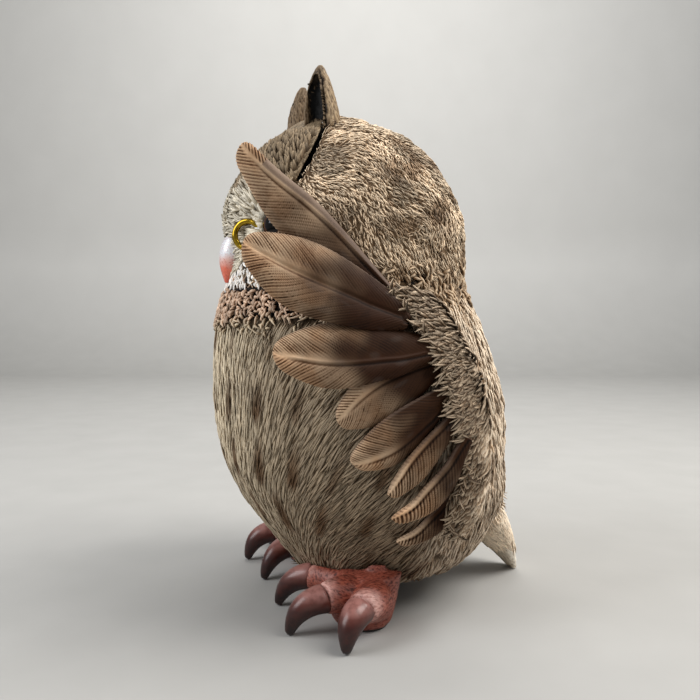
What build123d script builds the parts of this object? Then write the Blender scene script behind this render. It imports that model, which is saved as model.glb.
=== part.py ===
"""Owl figurine with its left wing raised to its spectacles: cast resin shells, feathers and fittings."""
from build123d import *
import os

# ------------------------------------------------------------------ driving dimensions (mm)
# The owl faces -Y, its left side is +X, and the ground is Z = 0.
WALL = 5.0                  # thickness of the hollow resin casts
OVERCUT = 1.0               # how far a cutter runs past the wall that it opens
SOLE = 1.0                  # thickness of the felt pads that the feet stand on
PAD_MARGIN = 1.0            # how far the pads stay inside the soles
NECK_Z = 128.0              # plane where the head casting sits on the body casting
NECK_BORE_R = 30.0          # opening in the body casting that the head's spigot fills
SPIGOT_DEPTH = 7.0          # how far the spigot reaches down into the body
PLUG_R = 12.0               # pour hole in the underside
PLUG_FLANGE = (14.0, 1.5)   # radius and thickness of the plug's flange
ARM_LAYER = 8.0             # how proud the raised wing's arm stands of the body
COVERT_LAYER = 6.0          # how proud the folded wing's coverts stand of the body
QUILL_LAYER = 4.0           # thickness of the folded wing's flight feathers
BLADE = 3.2                 # thickness of a free-standing feather
PIN_R = 2.0                 # steel dowels that hold wings, legs and tail
EYE_R = 7.6                 # glass eyes
EYE_DOME = 3.6              # how far the glass bulges out of its socket
RIM_R = 5.4                 # spectacle rims, to the middle of the wire
WIRE_R = 0.95               # spectacle wire
EYE_DEPTH = 6.0             # length of the glass eye's shank in its socket
FOOTPRINT = (-0.25, -6.63)  # moves the body's axis so that the origin is the middle of the footprint

# Level sections of the two big castings: height, fore-and-aft centre, half width, half depth
BODY = [(9, 3.5, 28.5, 26.5), (13, 6, 37, 35.3), (20, 7.8, 45, 43), (28, 7.4, 50.3, 48.8),
        (41, 5.5, 57.5, 56), (55, 2, 61, 59.7), (74, -0.5, 63, 61.8), (95, -3, 61.5, 60.2),
        (111, -5.3, 58.3, 56.9), (120, -6.4, 55.4, 54), (NECK_Z, -7, 52.5, 51)]
HEAD = [(NECK_Z, -6.4, 52.3, 50), (136, -5.6, 52, 49), (145, -5.4, 51.6, 49), (160, -7.4, 50.5, 49),
        (174, -7.8, 44.3, 43), (184, -8.3, 37.3, 36), (191, -9.5, 28.7, 27.6), (195.8, -11.5, 19.8, 18.8),
        (198.2, -12.5, 9.5, 9)]
# Level sections of the smaller forms: height, centre X, centre Y, half width, half depth
TAIL = [(38, 0, 46, 22, 17), (25, 0, 57.5, 17.5, 11.5), (12, 0, 67.5, 11.5, 6), (3, 0, 73.3, 5.5, 2.4),
        (0, 0, 75, 3, 1.4)]
BEAK = [(151, 0, -53.6, 3.0, 2.8), (147, 0, -54.4, 5.2, 5.0), (142.5, 0, -54.8, 6.0, 5.7),
        (136.5, 0, -55.8, 4.6, 4.2), (130.8, 0, -57.2, 1.3, 1.1)]
TUFT = [(184, 19.0, -20.0, 8.2, 8.0), (199, 18.0, -21.8, 6.9, 6.7), (210, 16.5, -22.0, 4.4, 4.3),
        (217.6, 15.0, -21.5, 1.2, 1.1)]
TUFT_HOLLOW = [(184, 23.0, -27.5, 5.4, 5.4), (203, 20.6, -26.2, 4.2, 4.2), (213.5, 17.0, -23.8, 1.4, 1.4)]
FOOT = [(SOLE, 41, -12, 12, 10.5), (8, 41, -12, 14.5, 12.5), (16, 39.5, -9, 13.5, 12),
        (27, 37, -4, 12, 11.5)]

os.makedirs("parts", exist_ok=True)


def save(part, name):
    """Place a finished piece on the footprint and write it."""
    placed = part.moved(Location((FOOTPRINT[0], FOOTPRINT[1], 0)))
    placed.label = name
    export_step(placed, f"parts/{name}.step")


def stacked(sections):
    """Solid lofted through level ellipses: height, centre X, centre Y, half width, half depth."""
    with BuildPart() as form:
        for z, x, y, half_width, half_depth in sections:
            with BuildSketch(Plane.XY.offset(z)):
                with Locations((x, y)):
                    Ellipse(half_width, half_depth)
        loft()
    return form.part


def rounded(sections, grow=0.0, trim=0.0):
    """A big casting's form, grown sideways and trimmed at both ends."""
    low = sections[0][0] + trim
    high = sections[-1][0] - trim
    between = [section for section in sections[1:-1] if low < section[0] < high]
    levels = [(low, *sections[0][1:]), *between, (high, *sections[-1][1:])]
    return stacked([(z, 0, middle, width + grow, depth + grow) for z, middle, width, depth in levels])


def mirrored(part):
    """The same piece on the owl's right side."""
    with BuildPart() as other:
        add(part)
        mirror(about=Plane.YZ, mode=Mode.REPLACE)
    return other.part


def tapered(path, radii):
    """Round limb lofted along points in one upright plane, square to the path at each point."""
    points = [Vector(*p) for p in path]
    across = (points[-1] - points[0]).cross(Vector(0, 0, 1))
    with BuildPart() as limb:
        for i, (point, radius) in enumerate(zip(points, radii)):
            ahead = points[min(i + 1, len(points) - 1)]
            behind = points[max(i - 1, 0)]
            with BuildSketch(Plane(origin=point, x_dir=across, z_dir=ahead - behind)):
                Circle(radius)
        loft()
    return limb.part


def dowel(start, end, radius=PIN_R):
    """Straight steel pin between two points."""
    with BuildPart() as pin:
        with BuildSketch(Plane(origin=start, z_dir=Vector(*end) - Vector(*start))):
            Circle(radius)
        extrude(amount=(Vector(*end) - Vector(*start)).length)
    return pin.part


def cut(part, *tools):
    """The part with every tool taken away."""
    with BuildPart() as rest:
        add(part)
        for tool in tools:
            add(tool, mode=Mode.SUBTRACT)
    return rest.part


def leaf(length, above, below, sag=0.0):
    """Outline of a feather from its quill end at the origin to its tip along +X."""
    with BuildSketch() as outline:
        with BuildLine():
            upper = Spline((0, 0.35 * above), (0.3 * length, 0.8 * above - 0.8 * sag),
                           (0.64 * length, above - sag), (0.9 * length, 0.62 * above - 0.5 * sag),
                           (length, 0), tangents=[(length, 1.8 * above - 2 * sag), (0, -1)])
            lower = Spline(upper @ 1, (0.9 * length, -0.62 * below - 0.5 * sag),
                           (0.64 * length, -below - sag), (0.3 * length, -0.8 * below - 0.8 * sag),
                           (0, -0.35 * below), tangents=[(0, -1), (-length, 1.8 * below + 2 * sag)])
            Line(lower @ 1, upper @ 0)
        make_face()
    return outline.sketch


# ------------------------------------------------------------------ forms that several pieces share
body_form = rounded(BODY)
head_form = rounded(HEAD)

# The face meets the skull on a plane that leans back from the chin to the crown.
face_plane = Plane(origin=(0, -26, 187), x_dir=(1, 0, 0), z_dir=(0, -1, 0.56))

# ------------------------------------------------------------------ steel dowels
WING_PIN = (19.0, 88.0)                    # fore-and-aft place and height of the wing dowels
LEG_PIN = (38.0, -7.0)                     # place of the leg dowels on plan
left_wing_pin = dowel((52, *WING_PIN), (63, *WING_PIN))
right_wing_pin = mirrored(left_wing_pin)
left_leg_pin = dowel((*LEG_PIN, 7), (*LEG_PIN, 34))
right_leg_pin = mirrored(left_leg_pin)
tail_pin = dowel((0, 50, 24), (0, 68, 24))
for pin, pin_name in [(left_wing_pin, "wing_dowel_left"), (right_wing_pin, "wing_dowel_right"),
                      (left_leg_pin, "leg_dowel_left"), (right_leg_pin, "leg_dowel_right"),
                      (tail_pin, "tail_dowel")]:
    save(pin, pin_name)

# ------------------------------------------------------------------ body casting and its plug
body_floor = BODY[0][0]
body_middle = BODY[0][1]
with BuildPart() as body_shell:
    add(body_form)
    add(rounded(BODY, grow=-WALL, trim=WALL), mode=Mode.SUBTRACT)
    with BuildSketch(Plane.XY.offset(NECK_Z)):
        with Locations((0, BODY[-1][1])):
            Circle(NECK_BORE_R)
    extrude(amount=-WALL - OVERCUT, mode=Mode.SUBTRACT)
    with BuildSketch(Plane.XY.offset(body_floor)):
        with Locations((0, body_middle)):
            Circle(PLUG_R)
    extrude(amount=WALL + OVERCUT, mode=Mode.SUBTRACT)
    for pin in (left_wing_pin, right_wing_pin, left_leg_pin, right_leg_pin, tail_pin):
        add(pin, mode=Mode.SUBTRACT)
save(body_shell.part, "body_shell")

flange_r, flange_t = PLUG_FLANGE
with BuildPart() as plug:
    with BuildSketch(Plane.XY.offset(body_floor)):
        with Locations((0, body_middle)):
            Circle(PLUG_R)
    extrude(amount=WALL)
    with BuildSketch(Plane.XY.offset(body_floor - flange_t)):
        with Locations((0, body_middle)):
            Circle(flange_r)
    extrude(amount=flange_t)
save(plug.part, "pour_hole_plug")

# ------------------------------------------------------------------ eyes
eye_plane = Plane(origin=(34.0, -43.0, 151), z_dir=(0.65, -0.76, 0.04))
with BuildPart() as eye_blank:
    with BuildSketch(Plane.XZ):
        with BuildLine():
            dome = TangentArc((0, EYE_DOME), (EYE_R, 0), tangent=(1, 0))
            Polyline(dome @ 1, (EYE_R, -EYE_DEPTH), (0, -EYE_DEPTH), dome @ 0)
        make_face()
    revolve(axis=Axis.Z)
glass_eye_left = eye_blank.part.moved(eye_plane.location)
glass_eye_right = mirrored(glass_eye_left)
save(glass_eye_left, "glass_eye_left")
save(glass_eye_right, "glass_eye_right")

# ------------------------------------------------------------------ head casting and face casting
with BuildPart() as head_cavity:
    add(rounded(HEAD, grow=-WALL, trim=WALL))
    split(bisect_by=face_plane.offset(-WALL), keep=Keep.BOTTOM)

with BuildPart() as head_shell:
    add(head_form)
    split(bisect_by=face_plane, keep=Keep.BOTTOM)
    add(head_cavity.part, mode=Mode.SUBTRACT)
    with BuildSketch(Plane.XY.offset(NECK_Z - SPIGOT_DEPTH)):
        with Locations((0, BODY[-1][1])):
            Circle(NECK_BORE_R)
    extrude(amount=SPIGOT_DEPTH)
    with BuildSketch(Plane.XY.offset(NECK_Z - SPIGOT_DEPTH)):
        with Locations((0, BODY[-1][1])):
            Circle(NECK_BORE_R - WALL)
    extrude(amount=SPIGOT_DEPTH + WALL + OVERCUT, mode=Mode.SUBTRACT)
    for eye in (glass_eye_left, glass_eye_right):
        add(eye, mode=Mode.SUBTRACT)
save(head_shell.part, "head_shell")

with BuildPart() as face_mask:
    add(head_form)
    split(bisect_by=face_plane, keep=Keep.TOP)
    for eye in (glass_eye_left, glass_eye_right):
        add(eye, mode=Mode.SUBTRACT)
save(face_mask.part, "face_mask")

# ------------------------------------------------------------------ beak
beak = cut(stacked(BEAK), head_form)
save(beak, "beak")

# ------------------------------------------------------------------ ear tufts: hollow horns of feathers
tuft = cut(stacked(TUFT), stacked(TUFT_HOLLOW), head_form)
save(tuft, "ear_tuft_left")
save(mirrored(tuft), "ear_tuft_right")

# ------------------------------------------------------------------ wire spectacles
rim_plane = Plane(origin=(23.4, -53.4, 148.4), x_dir=(0.7, 0.7, 0), z_dir=(0.7, -0.7, 0.08))
with BuildPart() as rim_blank:
    Torus(RIM_R, WIRE_R)
rim_left = rim_blank.part.moved(rim_plane.location)
rim_right = mirrored(rim_left)
save(rim_left, "spectacle_rim_left")
save(rim_right, "spectacle_rim_right")

bridge_end = rim_plane.from_local_coords((-0.87 * RIM_R, 0.5 * RIM_R, 0))
with BuildPart() as bridge:
    with BuildLine() as bridge_line:
        ThreePointArc(bridge_end, (0, -58.0, 154.0), (-bridge_end.X, bridge_end.Y, bridge_end.Z))
    with BuildSketch(Plane(origin=bridge_line.line @ 0, z_dir=bridge_line.line % 0)):
        Circle(WIRE_R)
    sweep(path=bridge_line.line)
    for rim in (rim_left, rim_right):
        add(rim, mode=Mode.SUBTRACT)
save(bridge.part, "spectacle_bridge")

# ------------------------------------------------------------------ raised left wing
def side_outline(points, inner, reach):
    """Upright slab on the owl's left, cut to a smooth closed outline given as (Y, Z) points."""
    with BuildPart() as slab:
        with BuildSketch(Plane.YZ.offset(inner)):
            with BuildLine():
                Spline(*points, periodic=True)
            make_face()
        extrude(amount=reach)
    return slab.part


def layer(thickness):
    """Skin of the given thickness over the body casting."""
    return cut(rounded(BODY, grow=thickness), body_form)


SIDE = 22.0                                # wing pieces start this far out from the middle
REACH = 60.0

with BuildPart() as wing_arm:
    add(layer(ARM_LAYER))
    add(side_outline([(-7, 124), (3, 112), (9, 102), (12, 88), (17, 74), (18, 58), (14, 42), (20, 36),
                      (28, 48), (31, 66), (29, 84), (24, 100), (17, 113), (5, 125)], SIDE, REACH),
        mode=Mode.INTERSECT)
    add(left_wing_pin, mode=Mode.SUBTRACT)
save(wing_arm.part, "left_wing_arm")

# Each free feather: root, tip, width above and below the shaft, sag of the shaft, and how many
# degrees its upper edge turns outward, so that neighbours lie over each other like shingles
LEFT_FEATHERS = [
    ((58.5, -2.3, 120.5), (54.5, -59.7, 175.5), 4.2, 12.5, 0.0, 10),
    ((62.0, -1.6, 116.5), (61.0, -60.3, 142.0), 10.5, 15.5, 0.0, -12),
    ((64.0, 7.4, 106.0), (64.0, -51.2, 104.5), 10.0, 13.5, 0.0, -12),
    ((62.5, 10.0, 99.5), (64.5, -28.8, 80.5), 9.5, 9.0, 0.0, 0),
    ((65.5, 11.4, 90.5), (66.5, -24.5, 66.5), 5.5, 12.0, 0.0, 10),
    ((66.5, 15.4, 82.0), (67.0, -10.8, 54.0), 3.5, 6.8, 0.0, 10),
    ((68.0, 19.0, 73.0), (68.5, -10.0, 45.8), 4.6, 4.8, 5.5, 8),
    ((61.5, 22.0, 58.5), (60.0, -5.0, 35.0), 3.8, 3.8, 5.0, 0),
]
LYING_UNDER = {1: [2], 3: [2, 5], 4: [3, 5], 5: [6], 6: [7], 8: [7]}


def blade(root, tip, above, below, sag, turn):
    """Flat feather standing on edge between two points."""
    run = Vector(*tip) - Vector(*root)
    inward = run.cross(run.cross(Vector(1, 0, 0)))
    upright = Plane(origin=root, x_dir=run, z_dir=inward)
    with BuildPart() as feather:
        with BuildSketch(Plane(upright.location * Location((0, 0, 0), (-turn, 0, 0)))):
            add(leaf(run.length, above, below, sag))
        extrude(amount=BLADE / 2, both=True)
    return feather.part


blades = {number: blade(*sizes) for number, sizes in enumerate(LEFT_FEATHERS, start=1)}
for number, feather in blades.items():
    over = [blades[other] for other in LYING_UNDER.get(number, [])]
    save(cut(feather, wing_arm.part, body_form, *over), f"left_wing_feather_{number}")

# ------------------------------------------------------------------ folded right wing
quill_layer = layer(QUILL_LAYER)
with BuildPart() as shield:
    add(layer(COVERT_LAYER))
    add(side_outline([(-6, 122), (-20, 110), (-27, 92), (-24, 76), (-12, 66), (6, 64), (24, 70),
                      (37, 82), (38, 98), (28, 112), (10, 122)], SIDE, REACH), mode=Mode.INTERSECT)
    add(left_wing_pin, mode=Mode.SUBTRACT)
save(mirrored(shield.part), "right_wing_coverts")

# Flight feathers of the folded wing, uppermost first: root and tip as (Y, Z)
FOLDED_FEATHERS = [((30, 84), (55, 44)), ((20, 76), (55, 33)), ((8, 72), (50, 24)), ((-4, 74), (43, 19)),
                   ((-15, 78), (32, 17))]
FOLDED_HALF_WIDTH = 7.5
covering = [shield.part]
for number, (root, tip) in enumerate(FOLDED_FEATHERS, start=1):
    run = Vector(0, *tip) - Vector(0, *root)
    with BuildPart() as strip:
        with BuildSketch(Plane(origin=(0, *root), x_dir=run, z_dir=(1, 0, 0))):
            add(leaf(run.length, FOLDED_HALF_WIDTH, FOLDED_HALF_WIDTH))
        extrude(amount=SIDE + REACH)
        add(quill_layer, mode=Mode.INTERSECT)
        for piece in covering:
            add(piece, mode=Mode.SUBTRACT)
    covering.append(strip.part)
    save(mirrored(strip.part), f"right_wing_feather_{number}")

# ------------------------------------------------------------------ tail
tail = cut(stacked(TAIL), body_form, tail_pin, *covering)
save(tail, "tail")

# ------------------------------------------------------------------ feet, claws and pads
# Each toe: its middle line, and the middle line of its claw
TOES = {
    "inner": ([(36, -13, 9), (28, -20, 12), (21.5, -26.5, 12.5)],
              [(21.5, -26.5, 12.5), (18.2, -34, 10.2), (15.8, -39.6, 1.2)]),
    "middle": ([(42, -13, 10), (45.5, -21, 13), (47, -28.5, 12.5)],
               [(47, -28.5, 12.5), (47, -37, 9.8), (46.2, -41.8, 1.2)]),
    "outer": ([(47, -10, 9), (55.5, -13.5, 12.5), (61, -19, 12.5)],
              [(61, -19, 12.5), (66, -24.5, 9.0), (68, -26.5, 1.2)]),
}
TOE_RADII = [8.0, 7.0, 5.6]
CLAW_RADII = [4.7, 3.6, 0.9]

with BuildPart() as foot:
    add(stacked(FOOT))
    for toe_path, claw_path in TOES.values():
        add(tapered(toe_path, TOE_RADII))
    split(bisect_by=Plane.XY.offset(SOLE), keep=Keep.TOP)
    add(body_form, mode=Mode.SUBTRACT)
    add(left_leg_pin, mode=Mode.SUBTRACT)
save(foot.part, "left_foot")
save(mirrored(foot.part), "right_foot")

for toe_name, (toe_path, claw_path) in TOES.items():
    claw = cut(tapered(claw_path, CLAW_RADII), foot.part, body_form)
    save(claw, f"left_claw_{toe_name}")
    save(mirrored(claw), f"right_claw_{toe_name}")

sole_z, sole_x, sole_y, sole_width, sole_depth = FOOT[0]
with BuildPart() as pad:
    with BuildSketch():
        with Locations((sole_x, sole_y)):
            Ellipse(sole_width - PAD_MARGIN, sole_depth - PAD_MARGIN)
    extrude(amount=SOLE)
save(pad.part, "left_foot_pad")
save(mirrored(pad.part), "right_foot_pad")
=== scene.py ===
"""Looks of the owl figurine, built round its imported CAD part.

Lengths are in metres in the row's frame: +Z is up, the owl faces -Y and its left side is +X.
The plumage is carved as on the casting. Strokes, like the marks of a modelling tool, raise a fine mesh
over each CAD form, and small curls lie on it. How high each point is in the carving, and its tone, are
kept on the mesh to guide the paint.
"""

import math
from types import SimpleNamespace

import bmesh
import bpy
import numpy as np
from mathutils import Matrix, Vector
from mathutils.bvhtree import BVHTree
from mathutils.kdtree import KDTree


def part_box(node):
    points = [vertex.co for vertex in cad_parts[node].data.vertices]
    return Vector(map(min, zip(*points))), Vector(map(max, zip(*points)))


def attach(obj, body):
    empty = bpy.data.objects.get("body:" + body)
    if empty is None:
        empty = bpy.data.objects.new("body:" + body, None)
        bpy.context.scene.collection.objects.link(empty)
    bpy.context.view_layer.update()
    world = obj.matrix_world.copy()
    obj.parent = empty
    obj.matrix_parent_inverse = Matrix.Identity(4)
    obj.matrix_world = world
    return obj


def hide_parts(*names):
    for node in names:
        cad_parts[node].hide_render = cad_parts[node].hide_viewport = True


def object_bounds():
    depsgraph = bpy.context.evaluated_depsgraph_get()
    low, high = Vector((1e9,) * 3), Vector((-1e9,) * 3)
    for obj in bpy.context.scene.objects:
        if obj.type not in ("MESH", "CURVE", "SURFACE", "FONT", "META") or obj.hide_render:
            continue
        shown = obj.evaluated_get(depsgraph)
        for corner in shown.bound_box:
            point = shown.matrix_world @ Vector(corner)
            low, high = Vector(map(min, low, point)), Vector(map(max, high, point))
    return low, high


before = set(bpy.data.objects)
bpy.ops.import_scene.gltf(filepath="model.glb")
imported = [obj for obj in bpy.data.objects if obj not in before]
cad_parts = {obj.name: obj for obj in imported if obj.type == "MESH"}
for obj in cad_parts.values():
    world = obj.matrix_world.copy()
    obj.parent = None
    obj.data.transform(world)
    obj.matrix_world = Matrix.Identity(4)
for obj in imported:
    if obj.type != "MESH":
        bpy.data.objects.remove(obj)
cad_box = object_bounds()
cad_size = float((cad_box[1] - cad_box[0]).length)
MM = 0.001
UP = np.array((0.0, 0.0, 1.0))
FRONT = np.array((0.0, -1.0, 0.0))
LEFT = np.array((1.0, 0.0, 0.0))


def corners_of(node):
    """Low and high corner of a node's box."""
    return [np.array(corner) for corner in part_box(node)]


def centre_of(node):
    """Middle of a node's box."""
    low, high = corners_of(node)
    return (low + high) / 2


NECK = corners_of("body_shell")[1][2]
body_mid = centre_of("body_shell")
head_mid = np.array((body_mid[0], body_mid[1] - 3 * MM, NECK + 28 * MM))
beak_low, beak_high = corners_of("beak")
left_shoulder = centre_of("left_wing_arm")
right_shoulder = centre_of("right_wing_coverts")
left_fan = left_shoulder - FRONT * 40 * MM + UP * 22 * MM          # where the coverts spread from
right_fan = right_shoulder + FRONT * 30 * MM + UP * 50 * MM


# ---------------------------------------------------------------- small sums on arrays of points
def unit(vectors):
    """Vectors scaled to length 1."""
    return vectors / np.maximum(np.linalg.norm(vectors, axis=-1, keepdims=True), 1e-12)


def dot(a, b):
    """Scalar product along the last axis."""
    return (a * b).sum(-1)


def tangent(vectors, normals):
    """The part of each vector that lies in the surface, at length 1."""
    return unit(vectors - dot(vectors, normals)[..., None] * normals)


def spokes(axis, turns):
    """Unit vectors square to an axis, at the given turns round it."""
    one = unit(np.cross(axis, UP))
    return np.cos(turns) * one + np.sin(turns) * np.cross(axis, one)


def smooth(low, high, values):
    """0 below low, 1 above high, and an even S between."""
    t = np.clip((values - low) / (high - low), 0, 1)
    return t * t * (3 - 2 * t)


def wobble(points, size, seed):
    """Smooth random field, about -1 to 1, whose lumps are about the given size in mm."""
    rng = np.random.default_rng(seed)
    total = np.zeros(points.shape[:-1])
    for _ in range(10):
        way = unit(rng.normal(size=points.shape[-1]))
        total += np.sin(points @ way * 2 * math.pi / (size * MM * rng.uniform(1.3, 3)) + rng.uniform(0, 6.3))
    return total / 3


def normals_of(points, quads):
    """Unit normal at each point of a mesh of quads."""
    corners = points[quads]
    across = np.cross(corners[:, 2] - corners[:, 0], corners[:, 3] - corners[:, 1])
    sums = [np.bincount(quads.ravel(), np.repeat(part, 4), len(points)) for part in across.T]
    return unit(np.stack(sums, -1))


# ---------------------------------------------------------------- meshes
def add_object(name, data):
    """A new object in the scene."""
    made = bpy.data.objects.new(name, data)
    bpy.context.scene.collection.objects.link(made)
    return made


def rows_of(items, name, width, kind=np.float32):
    """One property of all the items of a mesh, a row for each."""
    values = np.empty(len(items) * width, kind)
    items.foreach_get(name, values)
    return values.reshape(-1, width)


def node_arrays(node):
    """Points and triangles of a CAD node."""
    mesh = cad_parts[node].data
    mesh.calc_loop_triangles()
    triangles = rows_of(mesh.loop_triangles, "vertices", 3, np.int32)
    return rows_of(mesh.vertices, "co", 3).astype(float), triangles


def tree_of(node):
    """Search tree of a CAD node's surface."""
    points, triangles = node_arrays(node)
    return BVHTree.FromPolygons(points.tolist(), triangles.tolist())


def point_tree(places, numbers):
    """Search tree of places. It gives back the number of each place found."""
    tree = KDTree(len(places))
    for place, number in zip(places, numbers):
        tree.insert(place, number)
    tree.balance()
    return tree


def remeshed(node, voxel, smoothing=6):
    """Even quads, about a voxel in mm across, over a CAD node's whole surface, with its edges softened."""
    form = bmesh.new()
    form.from_mesh(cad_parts[node].data)
    bmesh.ops.remove_doubles(form, verts=form.verts, dist=1e-6)
    mesh = bpy.data.meshes.new("raw")
    form.to_mesh(mesh)
    form.free()
    raw = add_object("raw", mesh)
    remesh = raw.modifiers.new("remesh", "REMESH")
    remesh.mode = "VOXEL"
    remesh.voxel_size = voxel * MM
    raw.modifiers.new("soften", "SMOOTH").iterations = smoothing
    made = bpy.data.meshes.new_from_object(raw.evaluated_get(bpy.context.evaluated_depsgraph_get()))
    points = rows_of(made.vertices, "co", 3).astype(float)
    quads = rows_of(made.loops, "vertex_index", 1, np.int32).reshape(-1, 4)
    bpy.data.objects.remove(raw)
    bpy.data.meshes.remove(mesh)
    bpy.data.meshes.remove(made)
    return points, quads


def ball(squares):
    """Points on a unit ball and quads between them: a cube's skin, blown up."""
    line = np.tan(np.linspace(-math.pi / 4, math.pi / 4, squares + 1))
    a, b = np.meshgrid(line, line, indexing="ij")
    one = np.ones_like(a)
    sides = [(one, a, b), (-one, b, a), (b, one, a), (a, -one, b), (a, b, one), (b, a, -one)]
    points = np.concatenate([np.stack(side, -1).reshape(-1, 3) for side in sides])
    corner = np.arange((squares + 1) ** 2).reshape(squares + 1, squares + 1)
    square = np.stack([corner[:-1, :-1], corner[1:, :-1], corner[1:, 1:], corner[:-1, 1:]], -1).reshape(-1, 4)
    quads = np.concatenate([square + k * (squares + 1) ** 2 for k in range(6)])
    _, first, back = np.unique(np.round(points, 6), axis=0, return_index=True, return_inverse=True)
    return unit(points[first]), back.ravel()[quads]


def casting_skin(node, centre, squares, clear, depth):
    """Even quads over the outside of a hollow casting, closed flat where it meets the neck, with their
    normals and which points are clear of the neck. Those lie deeper than the casting, to leave room for
    carving. Clear and depth are in mm."""
    ways, quads = ball(squares)
    tree = tree_of(node)
    far = 2 * cad_size
    neck_reach = 0.085                   # the flat end stays within this of the centre
    beyond = np.sign(centre[2] - NECK)
    reach = np.full(len(ways), np.nan)
    for i, way in enumerate(ways):
        hit = tree.ray_cast(Vector(centre + way * far), Vector(-way), far)[0]
        to_neck = (NECK - centre[2]) / way[2] if abs(way[2]) > 0.01 else -1.0
        if hit is not None and (hit.z - NECK) * beyond > 0.2 * MM:
            reach[i] = (hit - Vector(centre)).length
        elif 0 < to_neck < neck_reach:
            reach[i] = to_neck
    found = np.flatnonzero(~np.isnan(reach))
    sound = point_tree(ways[found], found)
    for i in np.flatnonzero(np.isnan(reach)):
        reach[i] = np.mean([reach[k] for _, k, _ in sound.find_n(ways[i], 12)])
    points = centre + ways * reach[:, None]
    normals = normals_of(points, quads)
    free = (points[:, 2] - NECK) * beyond > clear * MM
    return points - normals * (depth * MM * free)[:, None], quads, normals, free


def loft_quads(rings, sides):
    """Quads between rings of points, with both end rings filled by strips."""
    index = np.arange(rings * sides).reshape(rings, sides)
    ahead = np.roll(index, -1, axis=1)
    walls = np.stack([index[:-1], ahead[:-1], ahead[1:], index[1:]], -1).reshape(-1, 4)
    near = np.arange(sides // 2 - 1)
    strip = np.stack([near, sides - 1 - near, sides - 2 - near, near + 1], -1)
    return np.concatenate([walls, strip, strip[:, ::-1] + (rings - 1) * sides])


def piece(name, points, quads, paint, slot, replaces=(), **coats):
    """Adds a finished mesh to the scene. Coats are numbers kept at each point for its paint."""
    mesh = bpy.data.meshes.new(name)
    mesh.from_pydata(points.tolist(), [], quads.tolist())
    for coat, values in coats.items():
        values = np.broadcast_to(values, len(points)).astype(np.float32)
        mesh.attributes.new(coat, "FLOAT", "POINT").data.foreach_set("value", values)
    mesh.shade_smooth()
    mesh.materials.append(paint)
    made = add_object(name, mesh)
    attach(made, "root")
    if replaces:
        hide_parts(*replaces)


# ---------------------------------------------------------------- carving
def scattered(points, rng, *gaps):
    """Indices of points about each gap, in mm, apart: a random one from each cell of a grid."""
    chosen = []
    for gap in gaps:
        cells = np.floor((points + rng.uniform(0, gap * MM, 3)) / (gap * MM)).astype(int)
        order = rng.permutation(len(points))
        chosen.append(order[np.unique(cells[order], axis=0, return_index=True)[1]])
    return np.concatenate(chosen)


def strokes(points, normals, chosen, flow, sizes, rng, stray):
    """Tool marks at the chosen points. Flow is each mark's way, from which it strays; its length, width
    and height, in mm, vary by a quarter."""
    count = len(chosen)
    normal = normals[chosen]
    along = tangent(unit(flow) + rng.normal(0, stray, (count, 3)), normal)
    length, width, height = (size * MM * rng.uniform(0.75, 1.25, count) for size in sizes)
    return dict(place=points[chosen], normal=normal, along=along, across=np.cross(normal, along),
                length=length, width=width, height=height, tone=rng.normal(0, 0.5, count))


def carved(points, normals, marks, nearest):
    """How far the marks raise each point, that as a share of the mark's height, and which mark it is."""
    tree = point_tree(marks["place"], range(len(marks["place"])))
    batch = 20000
    result = np.zeros((3, len(points)))
    for first in range(0, len(points), batch):
        some = slice(first, first + batch)
        near = np.array([[i for _, i, _ in tree.find_n(p, nearest)] for p in points[some]])
        offset = points[some][:, None] - marks["place"][near]
        t = dot(offset, marks["along"][near]) / marks["length"][near]
        side = 2 * dot(offset, marks["across"][near]) / marks["width"][near]
        facing = dot(normals[some][:, None], marks["normal"][near]) > 0.1
        form = np.clip(1 - side ** 2 - (2 * t) ** 4, 0, 1) ** 0.7 * (0.75 + 0.5 * t) * facing
        lift = form * marks["height"][near]
        best = lift.argmax(1)[:, None]
        result[:, some] = [np.take_along_axis(values, best, 1)[:, 0] for values in (lift, form, near)]
    return result[0], result[1], result[2].astype(int)


def clumped(points, normals, free, rows, flow, sizes, rng):
    """Points raised where free into clumps of plumage, with each one's share of the height and its tone."""
    clumps = strokes(points, normals, rows, flow, sizes, rng, 0.15)
    rise, share, which = carved(points, normals, clumps, 8)
    return points + normals * (rise * free)[:, None], share, clumps["tone"][which]


def rowed(points, centre, pole, row, apart, radius):
    """Indices of points in staggered rows round a pole: rows and places in a row have the given gaps, for
    a form of about the given radius. All three are in mm."""
    row, apart, radius = row * MM, apart * MM, radius * MM
    one = unit(np.cross(pole, LEFT))
    two = np.cross(pole, one)
    ways = unit(points - centre)
    chosen = []
    for k, polar in enumerate(np.arange(0.6 * row / radius, math.pi, row / radius)):
        count = max(3, int(2 * math.pi * math.sin(polar) * radius / apart))
        for turn in (np.arange(count) + 0.5 * (k % 2)) * 2 * math.pi / count:
            way = math.cos(polar) * pole + math.sin(polar) * (math.cos(turn) * one + math.sin(turn) * two)
            chosen.append(int((ways @ way).argmax()))
    return np.unique(chosen)


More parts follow.
